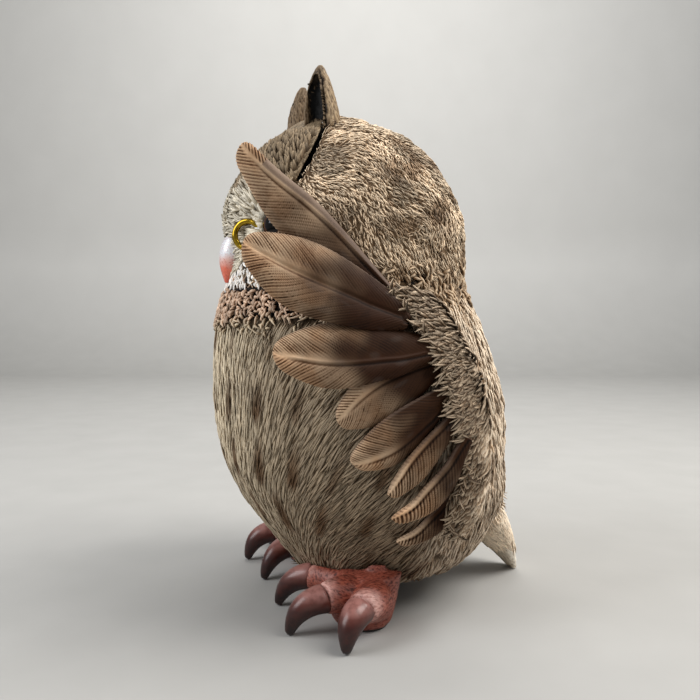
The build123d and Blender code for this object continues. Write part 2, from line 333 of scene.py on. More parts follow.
def curls(place, normal, along, sizes, bend, rng, rings, sides, sink=0.0, blunt=0.75, lift=0.0):
    """Curls lying on a surface: one mesh, with how far each point is up and along its curl and which curl
    it is in. Sizes are length, width and height, sink is how deep the curls lie and lift how far their
    tips stand up, all in mm. Bend is how far they turn aside, and blunt is lower for rounder ends."""
    count = len(place)
    along = tangent(along, normal)
    across = np.cross(normal, along)
    s = np.linspace(0.02, 0.98, rings)[None, :, None, None]
    angle = np.arange(sides)[None, None, :, None] * 2 * math.pi / sides
    bends = bend * rng.normal(size=count)

    def vary(value):
        return np.broadcast_to(value, count)[:, None, None, None] * rng.uniform(0.8, 1.2, (count, 1, 1, 1))

    long, wide, high = (vary(size * MM) for size in sizes)
    turn, stand = vary(bends), vary(lift * MM)
    place = (place - normal * sink * MM)[:, None, None]
    normal, along, across = (vectors[:, None, None] for vectors in (normal, along, across))
    taper = np.sin(math.pi * s ** 0.8) ** blunt
    middle = (place + along * long * s + across * turn * long * s ** 2
              + normal * (high * (0.7 * np.sin(math.pi * s * 0.8) - 0.2) + stand * s ** 2))
    form = middle + (across * np.cos(angle) * wide / 2 + normal * np.sin(angle) * high / 2) * taper
    quads = loft_quads(rings, sides) + (np.arange(count) * rings * sides)[:, None, None]
    crest = 0.5 + 0.5 * np.sin(angle)[..., 0] * taper[..., 0] ** 0.5
    tone = rng.normal(0, 0.5, (count, 1, 1))
    coats = {coat: np.broadcast_to(values, (count, rings, sides)).ravel()
             for coat, values in dict(crest=crest, tone=tone, run=s[..., 0]).items()}
    return SimpleNamespace(points=form.reshape(-1, 3), quads=quads.reshape(-1, 4), **coats,
                           which=np.repeat(np.arange(count), rings * sides))


def lay(name, made, paint, slot, crest, tone=None, stain=0.0, **coats):
    """Adds curls as one piece, with their own tone where no other is given."""
    piece(name, made.points, made.quads, paint, slot, crest=crest, tone=made.tone if tone is None else tone,
          stain=stain, **coats)


def quartered(name, middle, place, made, paint, slot, **coats):
    """Adds curls as four pieces, one for each quarter round the middle, so that none is too heavy."""
    count = len(place)
    each = len(made.points) // count
    curl = made.quads[:len(made.quads) // count]
    before, left = place[:, 1] < middle[1], place[:, 0] > middle[0]
    for quarter, chosen in {"front_left": before & left, "front_right": before & ~left,
                            "back_left": ~before & left, "back_right": ~before & ~left}.items():
        quads = curl[None] + each * np.arange(chosen.sum())[:, None, None]
        kept = np.repeat(chosen, each)
        piece(f"{name}_{quarter}", made.points[kept], quads.reshape(-1, 4), paint, slot,
              **{coat: values[kept] for coat, values in coats.items()})


# ---------------------------------------------------------------- paints
def colour(code):
    """Linear colour from a hex code."""
    parts = [int(code[k:k + 2], 16) / 255 for k in (0, 2, 4)]
    return tuple(c / 12.92 if c <= 0.04045 else ((c + 0.055) / 1.055) ** 2.4 for c in parts) + (1.0,)


class Paint:
    """A material's nodes. Most methods add one node and give its output."""

    def __init__(self, name, roughness=0.6, **settings):
        self.material = bpy.data.materials.new(name)
        self.material.use_nodes = True
        self.nodes = self.material.node_tree.nodes
        self.shader = self.nodes["Principled BSDF"]
        self.place = self.nodes.new("ShaderNodeTexCoord").outputs["Object"]
        self.set("Roughness", roughness)
        for socket, value in settings.items():
            self.set(socket.replace("_", " "), value)

    def put(self, socket, value):
        """Joins an output, or writes a constant, to a socket."""
        if isinstance(value, bpy.types.NodeSocket):
            self.material.node_tree.links.new(value, socket)
        else:
            socket.default_value = value

    def set(self, socket, value):
        self.put(self.shader.inputs[socket], value)

    def node(self, kind, inputs, output=0, **settings):
        """Adds a node with the given inputs and settings."""
        made = self.nodes.new("ShaderNode" + kind)
        for setting, value in settings.items():
            setattr(made, setting, value)
        for socket, value in inputs.items():
            self.put(made.inputs[socket], value)
        return made.outputs[output]

    def coat(self, name):
        return self.node("Attribute", {}, "Fac", attribute_name=name)

    def height(self):
        return self.node("SeparateXYZ", {0: self.place}, 2)

    def ramp(self, value, *stops):
        output = self.node("ValToRGB", {0: value})
        elements = output.node.color_ramp.elements
        for k, (position, code) in enumerate(stops):
            if k >= 2:
                elements.new(position)
            elements[k].position = position
            elements[k].color = colour(code)
        return output

    def mix(self, share, a, b, blend="MIX"):
        return self.node("Mix", {0: share, 6: a, 7: b}, 2, data_type="RGBA", blend_type=blend)

    def scale(self, value, low, high, bottom=0.0, top=1.0):
        """Value from bottom to top as a number from low to high."""
        return self.node("MapRange", {0: value, 1: bottom, 2: top, 3: low, 4: high})

    def maths(self, operation, a, b):
        return self.node("Math", {0: a, 1: b}, operation=operation)

    def brighter(self, base, value):
        return self.node("HueSaturation", {"Value": value, "Color": base})

    def noise(self, scale, detail=3.0, rough=0.5):
        inputs = {"Vector": self.place, "Scale": scale, "Detail": detail, "Roughness": rough}
        return self.node("TexNoise", inputs, "Fac")

    def crest(self, scale, grain):
        """How high in the carving, made uneven by fine noise."""
        return self.maths("ADD", self.coat("crest"), self.scale(self.noise(scale, 2), -grain, grain))

    def finish(self, base, roughness, grain, depth, strength):
        """Sets the colour, the roughness and a bump of noise, depth in mm, and gives the material."""
        self.set("Base Color", base)
        self.set("Roughness", roughness)
        bump = {"Distance": depth * MM, "Strength": strength, "Height": self.noise(*grain)}
        self.set("Normal", self.node("Bump", bump))
        return self.material


def plumage(name, colours, stain, second=None, uneven=0.26):
    """Carved and painted feathers: a dark wash in the grooves, dry-brushed crests, dark painted marks and
    painted shade. Coats: crest is how high in the carving, tone varies from mark to mark, stain is where the
    stain colour darkens the paint, on marks and as painted shade, and second, where given, is the share of
    the second set of three colours."""
    paint = Paint(name, Specular_IOR_Level=0.22)
    crest = paint.crest(1500, 0.12)
    groove_middle_crest = (0.05, 0.5, 0.97)
    base = paint.ramp(crest, *zip(groove_middle_crest, colours))
    if second:
        other = paint.ramp(crest, *zip(groove_middle_crest, second))
        base = paint.mix(paint.coat("second"), base, other)
    mottled = paint.scale(paint.noise(220, 4, 0.6), 0.82, 1.18, 0.3, 0.7)
    tone = paint.scale(paint.coat("tone"), 1 - uneven, 1 + uneven, -1.0, 1.0)
    base = paint.brighter(base, paint.maths("MULTIPLY", mottled, tone))
    # The stain colour is multiplied in where the stain coat says: on marks, and on the body and head also as
    # painted shade.
    base = paint.mix(paint.coat("stain"), base, paint.mix(1.0, base, colour(stain), "MULTIPLY"))
    return paint.finish(base, paint.scale(crest, 0.78, 0.55), (2600, 3, 0.6), 0.15, 0.5)


def quill_paint(name):
    """Flight feathers: warm brown, tan towards the tip, with soft grey-violet spots."""
    paint = Paint(name, Specular_IOR_Level=0.14)
    crest = paint.crest(1300, 0.1)
    deep = paint.ramp(crest, (0.1, "080402"), (0.55, "1e0f06"), (1.0, "38200f"))
    pale = paint.ramp(crest, (0.1, "20140b"), (0.5, "785940"), (1.0, "e2c2a0"))
    base = paint.mix(paint.coat("tip"), deep, pale)
    warm = paint.ramp(paint.noise(75, 3), (0.45, "ffffff"), (0.62, "f0d2b4"))
    base = paint.mix(0.5, base, warm, "MULTIPLY")
    base = paint.mix(paint.coat("spot"), base, colour("6e6864"))
    base = paint.mix(paint.coat("edge"), base, paint.ramp(crest, (0.1, "3a2c24"), (1.0, "77655a")))
    base = paint.brighter(base, paint.scale(paint.coat("tone"), 0.75, 1.25, -1.0, 1.0))
    return paint.finish(base, paint.scale(crest, 0.85, 0.62), (2200, 3, 0.6), 0.1, 0.4)


def beak_gloss(name):
    """Glossy painted resin, from brick red at the beak's point to a pale horn colour at its root, with a
    bluish-white painted reflection over the upper part.
    """
    paint = Paint(name, Coat_Weight=0.9, Coat_Roughness=0.12)
    drift = paint.scale(paint.noise(160, 3), -0.12, 0.12)
    run = paint.maths("ADD", paint.scale(paint.height(), 0.0, 1.0, beak_low[2], beak_high[2]), drift)
    # The pale pink and bluish-white stops at the top are partly the pale horn of the root and partly a
    # painted reflection.
    base = paint.ramp(run, (0.0, "d8502e"), (0.26, "e87050"), (0.42, "f0c0b4"), (0.55, "f2f3f8"))
    base = paint.mix(paint.scale(paint.noise(1700, 2), 0.0, 0.6, 0.52, 0.68), base, colour("b5402a"))
    return paint.finish(base, paint.scale(paint.noise(500, 3), 0.22, 0.38), (900, 4), 0.12, 0.35)


def foot_paint(name):
    """Painted skin of the toes: brick red with darker creases, and a pale pink painted highlight on each toe
    joint.
    """
    paint = Paint(name, Specular_IOR_Level=0.5)
    crest = paint.crest(1200, 0.15)
    base = paint.ramp(crest, (0.1, "4c1c12"), (0.55, "843c2c"), (1.0, "a8604c"))
    # Pale pink painted highlight on the toe joints near the claws.
    base = paint.mix(paint.coat("knuckle"), base, paint.ramp(crest, (0.0, "b47c70"), (1.0, "eec2b8")))
    base = paint.brighter(base, paint.scale(paint.noise(260, 3), 0.8, 1.2, 0.3, 0.7))
    return paint.finish(base, paint.scale(crest, 0.62, 0.4), (1800, 3, 0.6), 0.15, 0.5)


def claw_paint(name):
    """Claws: dark red-brown horn, paler pink-grey near the toe as a painted highlight, under a clear gloss.
    """
    paint = Paint(name, Coat_Weight=0.28, Coat_Roughness=0.2, Specular_IOR_Level=0.35)
    # The pale pink-grey stops near the toe are a painted highlight that carries on from the toe joint.
    base = paint.ramp(paint.coat("run"), (0.0, "a06e66"), (0.18, "60322a"), (0.4, "38130d"), (1.0, "1a0806"))
    base = paint.mix(paint.scale(paint.noise(420, 4), 0.0, 0.5, 0.45, 0.7), base, colour("4c1c14"))
    return paint.finish(base, paint.scale(paint.noise(300, 3), 0.28, 0.45), (1100, 3), 0.08, 0.3)


def metal_paint(name, code, roughness, marks):
    """Metal with faint scratches and tarnish."""
    paint = Paint(name, Metallic=1.0)
    base = paint.mix(paint.scale(paint.noise(600, 4), 0.0, 0.5, 0.45, 0.75), colour(code), colour(marks))
    rough = paint.scale(paint.noise(1400, 3), roughness - 0.06, roughness + 0.1)
    return paint.finish(base, rough, (2400, 2), 0.04, 0.3)


def fibre_paint(name, code, fleck, scale):
    """Felt or rubber: a fine grain with flecks."""
    paint = Paint(name)
    flecks = paint.scale(paint.noise(scale, 5, 0.7), 0.0, 1.0, 0.35, 0.65)
    return paint.finish(paint.mix(flecks, colour(code), colour(fleck)), 0.9, (scale * 1.5, 4, 0.7), 0.2, 0.6)


def eye_paint(name):
    """Glass eye: black pupil, amber-brown iris, dark rim."""
    paint = Paint(name, roughness=0.08, Coat_Weight=0.1, Coat_Roughness=0.03, Specular_IOR_Level=0.2)
    radius = paint.maths("ADD", paint.coat("radius"), paint.scale(paint.noise(900, 3), -0.05, 0.05))
    pupil, iris = (0.46, "040202"), ((0.52, "4a2608"), (0.66, "241004"))
    paint.set("Base Color", paint.ramp(radius, (0.0, "030202"), pupil, *iris, (0.74, "050302")))
    return paint.material


# Groove, middle and crest of the plumage's two commonest paints
CREAM = ("38291a", "988468", "e8d8bc")
TAN = ("3e2c1a", "bfa68a", "fbead2")
belly_paint = plumage("belly_and_back_paint", CREAM, "6c523a", TAN)
head_paint = plumage("head_paint", ("20140a", "96795a", "fbe6c8"), "6a4e34", uneven=0.42)
face_paint = plumage("face_paint", ("2a2219", "94876e", "f6eedc"), "5a4a38", ("1c140b", "604e3a", "a08c70"),
                     0.4)
chin_paint = plumage("chin_paint", ("b4a494", "fff8ee", "ffffff"), "2c2620")
covert_paint = plumage("covert_paint", ("0e0703", "5e4a36", "e0caae"), "5a3f28", TAN, 0.4)
tuft_paint = plumage("tuft_paint", ("1e130b", "5a4733", "8f7a60"), "080504", ("281c14", "6a563f", "a48e6e"))
tail_paint = plumage("tail_paint", ("50402f", "a89680", "e6dac6"), "8a6c50", ("a09078", "e8dcc8", "fff6e8"))
ruff_paint = plumage("ruff_paint", ("2e1a10", "b08c70", "f4dac2"), "5a3a28", CREAM, 0.42)
feather_paint = quill_paint("flight_feather_paint")
skin_paint = foot_paint("toe_skin_paint")
horn_paint = claw_paint("claw_horn_paint")
gold_paint = metal_paint("gold_wire", "a8892a", 0.22, "5c4a10")
steel_paint = metal_paint("dowel_steel", "b9bcc0", 0.35, "6f7377")
felt_paint = fibre_paint("felt", "2c2a28", "4b4844", 1400)
rubber_paint = fibre_paint("plug_rubber", "1f1e1d", "2b2927", 500)
glass_paint = eye_paint("eye_glass")


# ---------------------------------------------------------------- body casting
def backwards(points):
    """0 on the belly and flanks, 1 on the back, where the plumage is tan, with an uneven edge."""
    return smooth(2 * MM, 16 * MM, points[:, 1] - body_mid[1] + 4 * MM * wobble(points, 14, 1))


def body_flow(points, back):
    """The back's hairs hang; the belly's run down and, on the flanks, forwards."""
    aside = np.clip(np.abs(points[:, 0] - body_mid[0]) / (60 * MM), 0, 1)
    belly = -UP + FRONT * (0.95 * aside ** 1.5)[:, None]
    return belly * (1 - back)[:, None] - UP * back[:, None]


def carve_body():
    rng = np.random.default_rng(11)
    points, quads, normals, free = casting_skin("body_shell", body_mid, 120, 1.5, 1.2)
    rows = rowed(points, body_mid, UP, 10, 11, 60)
    rows = rows[backwards(points[rows]) > 0.3]
    points, clump_share, _ = clumped(points, normals, free, rows, -UP, (19, 13, 1.3), rng)
    # lumps is 1 on the back's clumps and lower in the gaps between them, where the carving is painted darker
    # as shade.
    lumps = 1 - 0.6 * (1 - smooth(0.1, 0.6, clump_share)) * smooth(0.2, 0.5, backwards(points))
    # Where the ruff hangs over the body, the skin is painted dark as shade beneath its curls, and no hairs
    # grow there.
    under_ruff = smooth(NECK - 15 * MM, NECK - 10 * MM, points[:, 2])
    under_ruff = under_ruff * (1 - smooth(-10 * MM, 0, points[:, 1] - body_mid[1]))

    dash_places = rowed(points, body_mid, UP, 22, 17, 60)
    dashes = strokes(points, normals, dash_places, -UP + 0.25 * FRONT, (19, 6, 1), rng, 0.12)

    # Brown dashes, which are marks in the paint, and painted shade on the flanks and low on the belly, as one
    # share.
    def dashes_and_painted_shade(at, facing):
        _, dash, _ = carved(at, facing, dashes, 8)
        faint = np.clip(0.8 + 0.35 * wobble(at, 30, 4), 0, 1)
        # flank and under are painted shade: darker on the flanks below the wings and low on the belly, where
        # shade falls.
        flank = smooth(16 * MM, 50 * MM, np.abs(at[:, 0] - body_mid[0])) * (1 - backwards(at))
        under = smooth(NECK - 50 * MM, NECK - 105 * MM, at[:, 2])
        dash = smooth(0.05, 0.8, dash) * faint * (1 - 0.45 * backwards(at))
        return 1 - (1 - 0.92 * dash) * (1 - 0.54 * flank) * (1 - 0.4 * under)

    # The skin is painted darker under the ruff and in the gaps between the back's clumps: painted shade.
    piece("body_plumage", points, quads, belly_paint, "belly_and_back", ["body_shell"], tone=0.0,
          crest=0.3 * lumps * (1 - under_ruff), stain=np.maximum(dashes_and_painted_shade(points, normals), under_ruff),
          second=backwards(points))

    chosen = scattered(points, rng, 1.8, 2.4)
    chosen = chosen[(points[chosen, 2] < NECK - 2 * MM) & (under_ruff[chosen] < 0.6)]
    chosen = chosen[rng.random(len(chosen)) > 0.1 * backwards(points[chosen])]
    place, facing = points[chosen], normals_of(points, quads)[chosen]
    back = backwards(place)
    sway = 0.12 * wobble(place, 20, 2) + rng.normal(0, 0.06 + 0.12 * back)
    flow = body_flow(place, back) + LEFT * sway[:, None]
    place = place + rng.normal(0, 0.3 * MM, place.shape)
    rings, sides = 4, 4
    made = curls(place, facing, flow, (10 - 4 * back, 1.0 + 0.2 * back, 0.7 - 0.05 * back), 0.08, rng,
                 rings, sides, lift=-0.75 + 0.45 * back)
    # Hairs in the gaps between the back's clumps are painted darker, as shade.
    crest = np.maximum(made.crest, 0.35 * back[made.which]) * (0.35 + 0.65 * lumps[chosen][made.which])
    # The same dashes and painted shade for the hairs.
    dashed_and_shaded = dashes_and_painted_shade(made.points.reshape(-1, sides, 3).mean(1), np.repeat(facing, rings, axis=0))
    quartered("body_hairs", body_mid, place, made, belly_paint, "belly_and_back", crest=crest,
              tone=made.tone, stain=np.repeat(dashed_and_shaded, sides), second=back[made.which])


carve_body()


# ---------------------------------------------------------------- head casting
def seam_share(points):
    """1 along the dark seam beside the brow, where the skull meets the face, and 0 elsewhere."""
    tree = tree_of("face_mask")
    apart = np.array([tree.find_nearest(Vector(at))[3] for at in points])
    inside = dot(points - head_mid, FRONT) > 0
    high = smooth(head_mid[2] + 10 * MM, head_mid[2] + 15 * MM, points[:, 2])
    return (1 - smooth(1.3 * MM, 2.4 * MM, apart)) * high * inside


def carve_head():
    rng = np.random.default_rng(12)
    points, quads, normals, free = casting_skin("head_shell", head_mid, 126, 1.0, 1.6)
    face_mid = head_mid + FRONT * 42 * MM + UP * 10 * MM

    def flow(at):
        return unit(at - face_mid) - 0.55 * UP

    rows = rowed(points, head_mid, unit(FRONT + 0.3 * UP), 10, 12, 48)
    points, clump_share, tones = clumped(points, normals, free, rows, flow(points[rows]), (19, 15.5, 1.8),
                                         rng)
    # lumps is 1 on the clumps and lower in the gaps between them, which are painted darker as shade.
    lumps = smooth(0.1, 0.55, clump_share)
    seam = seam_share(points)
    points = points - normals * (2.0 * MM * seam)[:, None]
    # The skin is painted darker in the gaps between clumps as shade, and along the dark seam of the brow.
    piece("head_plumage", points, quads, head_paint, "head_plumage", ["head_shell"],
          crest=0.3 * lumps - 0.3 * seam, tone=0.0, stain=np.maximum(0.5 * (1 - lumps), 0.8 * seam))

    chosen = scattered(points, rng, 1.35, 1.7)
    chosen = chosen[(points[chosen, 2] > NECK + 2 * MM) & (seam[chosen] < 0.3)]
    place, facing = points[chosen], normals_of(points, quads)[chosen]
    sway = np.stack([wobble(place, 12, seed) for seed in (5, 6, 7)], -1)
    way = flow(place) + 0.35 * sway + rng.normal(0, 0.22, place.shape)
    place = place + rng.normal(0, 0.25 * MM, place.shape)
    made = curls(place, facing, way, (3.4, 0.68, 0.6), 0.15, rng, 4, 4)
    patches = smooth(0.0, 1.0, wobble(place, 20, 8))
    behind = smooth(0, 12 * MM, place[:, 1] - head_mid[1] + 8 * MM)
    blots = 0.45 * smooth(0.3, 0.9, wobble(place, 7, 9)) * behind
    # hollow: painted shade in the gaps between clumps, joined with the dark blots of pattern on the back of
    # the head.
    hollow = np.maximum(1 - lumps[chosen], 0.9 * blots)
    quartered("head_hairs", head_mid, place, made, head_paint, "head_plumage",
              crest=made.crest * (1 - 0.7 * hollow[made.which]),
              tone=made.tone + 0.9 * tones[chosen][made.which],
              stain=np.clip(0.4 * patches + 0.6 * hollow, 0, 1)[made.which])


carve_head()


# ---------------------------------------------------------------- flight feathers
def plate_axes(points, triangles, outward, shoulder):
    """Centre, outward normal, run from root to tip and upper side of a thin plate."""
    corners = points[triangles]
    facing = np.cross(corners[:, 1] - corners[:, 0], corners[:, 2] - corners[:, 0])
    size = np.linalg.norm(facing, axis=1)[:, None, None].clip(1e-15)
    normal = np.linalg.eigh((facing[:, :, None] * facing[:, None, :] / size).sum(0))[1][:, 2]
    normal = normal * np.sign(normal @ outward)
    centre = points.mean(0)
    flat = points - centre
    flat = flat - (flat @ normal)[:, None] * normal
    run = np.linalg.eigh(flat.T @ flat)[1][:, 2]
    ends = centre + np.outer(((flat @ run).min(), (flat @ run).max()), run)
    if np.linalg.norm(ends[1] - shoulder) < np.linalg.norm(ends[0] - shoulder):
        run = -run
    return centre, normal, run, np.cross(run, normal)


def outline_of(along, across, triangles, stations):
    """Lowest and highest edge of a plate at stations along it, evened out over five stations."""
    edges = np.concatenate([triangles[:, [0, 1]], triangles[:, [1, 2]], triangles[:, [2, 0]]])
    a, b = along[edges[:, 0]], along[edges[:, 1]]
    limits = []
    for station in stations:
        crossing = (a - station) * (b - station) < 0
        share = (station - a[crossing]) / (b[crossing] - a[crossing])
        at = across[edges[crossing, 0]] * (1 - share) + across[edges[crossing, 1]] * share
        limits.append((at.min(), at.max()) if len(at) else (0.0, 0.0))
    window = np.ones(5) / 5
    return [np.convolve(np.pad(limit, 2, mode="edge"), window, "valid") for limit in np.array(limits).T]


def depth_fit(node, centre, normal, run, above, length, width):
    """Outer face and thickness of a plate: a curved sheet fitted to rays shot at both its faces."""
    tree = tree_of(node)
    rows, faces_out, thick = [], [], []

    def terms(x, y):
        return 1, x, y, x * x, x * y, y * y

    for u in np.linspace(-0.45, 0.45, 16):
        for v in np.linspace(-0.45, 0.45, 10):
            at = centre + run * u * length + above * v * width
            outer, facing, _, _ = tree.ray_cast(Vector(at + normal * 0.1), Vector(-normal), 0.2)
            inner = tree.ray_cast(Vector(at - normal * 0.1), Vector(normal), 0.2)[0]
            if outer is None or Vector(facing).dot(Vector(normal)) < 0.6:
                continue
            rows.append(terms(u * length, v * width))
            faces_out.append((np.array(outer) - centre) @ normal)
            thick.append((np.array(outer) - np.array(inner)) @ normal)
    fit = np.linalg.lstsq(np.array(rows), np.array(faces_out), rcond=None)[0]

    def outer_face(x, y):
        return sum(share * term for share, term in zip(fit, terms(x, y)))

    return outer_face, float(np.median(thick))


def shuffled(numbers):
    """A share from 0 to 1 for each number, as good as random but always the same."""
    return np.mod(np.sin(numbers) * 43758.5453, 1)


def feather(node, shoulder, outward, shaft, ridge, gap, slope, seed, puff=0.8, depth=0.45, band=0.0, tan=0.3,
            bold=1.0):
    """A carved flight feather in place of its CAD plate. Shaft is where its quill runs, from -1 at the
    lower edge to 1 at the upper; ridge is its height; gap and slope set the barbs, and depth and bold how
    deep they are and show; puff is how far the vanes swell; band is how strongly the strip above the shaft
    is tinted, and tan where along the feather it begins to turn tan. Ridge, gap, depth and puff are in mm."""
    cad_points, triangles = node_arrays(node)
    centre, normal, run, above = plate_axes(cad_points, triangles, outward, shoulder)
    along, across = (cad_points - centre) @ run, (cad_points - centre) @ above
    start, length, width = along.min(), along.max() - along.min(), across.max() - across.min()
    outer_face, thick = depth_fit(node, centre, normal, run, above, length, width)

    spacing = 0.3 * MM
    rings, half_ring = int(length / spacing), int(width / spacing)
    stations = start + length * (1 - np.cos(np.linspace(0.06, math.pi - 0.05, rings))) / 2
    stations = 0.5 * stations + 0.5 * np.linspace(stations[0], stations[-1], rings)
    low, high = outline_of(along, across, triangles, stations)

    x = np.sin(np.linspace(-math.pi / 2, math.pi / 2, half_ring + 1))
    x = np.concatenate([x, x[-2:0:-1]])
    face = np.concatenate([np.ones(half_ring + 1), -np.ones(half_ring - 1)])
    half = ((high - low) / 2)[:, None]
    y = ((high + low) / 2)[:, None] + half * x
    t = ((stations - start) / length)[:, None]
    run_at = np.broadcast_to(stations[:, None], y.shape)

    place_of_shaft = shaft * (1 - (0.1 if shaft > 0.8 else 0.75) * t ** 4)
    beside = x - place_of_shaft
    reach = np.where(beside > 0, 1 - place_of_shaft, 1 + place_of_shaft)
    vane = np.abs(beside) / np.maximum(reach, 0.05)
    edge_round = np.sqrt(np.clip(1 - np.abs(x) ** 5, 0, 1)) * np.sqrt(np.clip(1 - t ** 10, 0, 1))
    bulge = puff * MM * (1 - (2 * vane - 1) ** 2) * np.minimum(1, reach * 1.2)
    sheet = outer_face(run_at, y) - thick / 2
    lift = sheet + face * thick / 2 * edge_round + bulge * edge_round * (face > 0)
    points = centre + run_at[..., None] * run + y[..., None] * above + lift[..., None] * normal
    points = points.reshape(-1, 3)
    quads = loft_quads(rings, 2 * half_ring)
    normals = normals_of(points, quads)
    if dot(normals, points - points.mean(0)).sum() < 0:
        quads, normals = quads[:, ::-1], -normals

    local = np.stack([run_at, y], -1)
    sway = wobble(local, 9, seed + 1)
    q = np.abs(beside) * half
    phase = (run_at - q * slope - 12 * q ** 2 * np.sign(slope)) / (gap * MM) + 0.35 * sway
    phase = np.where(beside > 0, phase, phase + 0.4)
    pick = shuffled(np.floor(phase) * 12.9898 + seed + 7 * (beside > 0))          # one for each barb
    comb = np.abs(np.cos(math.pi * phase)) ** 0.8
    split = np.abs(np.cos(math.pi * (2.0 * phase + 0.3 * sway)))
    grooved = smooth(0.06, 0.45, vane * bold ** 2) * (0.35 + 0.65 * smooth(0.1, 0.9, t))
    grooved = grooved * (0.45 + 0.55 * pick) * np.where(reach < 0.6, 0.12 if bold < 1.5 else 0.6, bold)
    ribs = grooved * ((1 - comb) * 0.8 + 0.25 * (1 - split))
    quill = np.exp(-(beside * half / (0.55 * MM)) ** 2) * (1 - smooth(0.86, 0.98, t))
    trench = np.exp(-((beside * half + 0.95 * MM) / (0.5 * MM)) ** 2) * (1 - smooth(0.8, 0.95, t))
    relief = -depth * MM * ribs + ridge * MM * quill - 0.28 * MM * trench
    points = points + normals * relief.reshape(-1, 1)

    worn = smooth(0.5, 1, wobble(local, 7, seed + 2))
    spot = smooth(0.8, 1.6, wobble(local * np.array((0.5, 1.2)), 3, seed + 4))
    coats = dict(
        crest=np.clip(1 - 0.95 * ribs - 0.5 * trench + 0.2 * quill - 0.12 * worn, 0, 1),
        tip=smooth(tan, 1.1, t + 0.06 * wobble(local, 7, seed + 3) + 0.08 * np.abs(x)),
        spot=0.1 * spot * (1 - smooth(0.6, 0.8, t)),
        edge=np.maximum(band * smooth(0.02, 0.12, beside) * (reach < 0.6), 0.4 * smooth(0.9, 0.97, x)),
        tone=(pick - 0.5) * 0.9 * grooved - 0.35 * (face < 0))
    piece(node + "_carved", points, quads, feather_paint, "flight_feathers", [node],
          **{coat: np.broadcast_to(values, y.shape).ravel() for coat, values in coats.items()})


# Left wing from the top: where the shaft runs, its height, barb gap and slope, and where the tan begins
LEFT_QUILLS = [(0.72, 0.5, 1.8, 1.3, 0.24), (0.0, -0.4, 1.7, 1.5, 0.34), (-0.28, 0.5, 1.6, 1.3, 0.44),
               (0.5, 0.3, 1.5, 1.2, 0.33), (-0.35, 0.4, 1.5, 1.2, 0.42), (0.88, 0.4, 1.5, 0.7, 0.15),
               (0.88, 0.4, 1.5, 0.6, 0.25), (0.85, 0.3, 1.4, 0.8, 0.35)]
for number, (shaft, ridge, gap, slope, tan) in enumerate(LEFT_QUILLS, start=1):
    lower = number >= 6
    feather(f"left_wing_feather_{number}", left_shoulder, LEFT, shaft, ridge, gap, slope, 40 + number,
            depth=0.65 if lower else 0.5, band=0.8 if number == 1 else 0.3, tan=tan,
            bold=1.6 if lower else 1.2)
for number in range(1, 6):
    feather(f"right_wing_feather_{number}", right_shoulder, -LEFT, 0.1, 0.4, 1.9, 1.2, 60 + number, puff=0.4)


# ---------------------------------------------------------------- smaller castings
def carved_node(node, name, paint, slot, voxel, flow, gap, sizes, seed, coats=None, smoothing=6, press=None):
    """A CAD form remeshed and covered with strokes, then moved where press says. Voxel, gap and the
    strokes' sizes are in mm."""
    rng = np.random.default_rng(seed)
    points, quads = remeshed(node, voxel, smoothing)
    normals = normals_of(points, quads)
    chosen = scattered(points, rng, gap)
    marks = strokes(points, normals, chosen, flow(points[chosen]), sizes, rng, 0.2)
    rise, share, which = carved(points, normals, marks, 18)
    points = points + normals * (rise - 0.5 * (sizes[2] * MM))[:, None]
    extra = coats(marks["place"][which], normals) if coats else {}
    if press:
        points = points + press(points, normals)
    extra.setdefault("stain", 0.0)
    piece(name, points, quads, paint, slot, [node], crest=smooth(0.2, 1.0, share), tone=marks["tone"][which],
          **extra)


def behind_band(points):
    """0 on the dark combed band next to the flight feathers, 1 on the tan plumage behind it."""
    band = body_mid[1] + 28 * MM - 6 * MM * ((points[:, 2] - left_shoulder[2]) / (40 * MM)) ** 2
    return smooth(-2 * MM, 6 * MM, points[:, 1] - band + 2.5 * MM * wobble(points, 10, 36))


def wing_cover(node, name, seed, fan):
    """Curly coverts over the roots of the flight feathers, spreading from a point behind the shoulder."""
    carved_node(node, name, covert_paint, "wing_coverts", 0.42, lambda at: unit(at - fan), 1.6,
                (6.5, 1.6, 0.8), seed, lambda points, normals: dict(second=behind_band(points)))


wing_cover("left_wing_arm", "left_wing_coverts", 21, left_fan)
wing_cover("right_wing_coverts", "right_wing_coverts_carved", 22, right_fan)


def brow_share(points):
    """0 on the pale facial disc, 1 on the olive-brown brow over it."""
    aside = smooth(20 * MM, 32 * MM, np.abs(points[:, 0] - body_mid[0]))
    height = points[:, 2] - beak_high[2] - 16 * MM + 9 * MM * aside
    return smooth(-3 * MM, 4 * MM, height + 2 * MM * wobble(points, 8, 30))


def face_coats(points, normals):
    chin = smooth(0, 6 * MM, beak_high[2] - 12 * MM - points[:, 2])
    return dict(stain=smooth(0.5, 0.9, wobble(points, 2.2, 31)) * chin, second=brow_share(points))


def eye_flow(points):
    """Ways leading out from the nearer eye."""
    mirror = np.where(points[:, :1] >= body_mid[0], 1, (-1, 1, 1))
    return unit(points - centre_of("glass_eye_left") * mirror)


carved_node("face_mask", "facial_disc", face_paint, "face_plumage", 0.45, eye_flow, 1.3, (6, 1.5, 0.8), 23,
            face_coats)


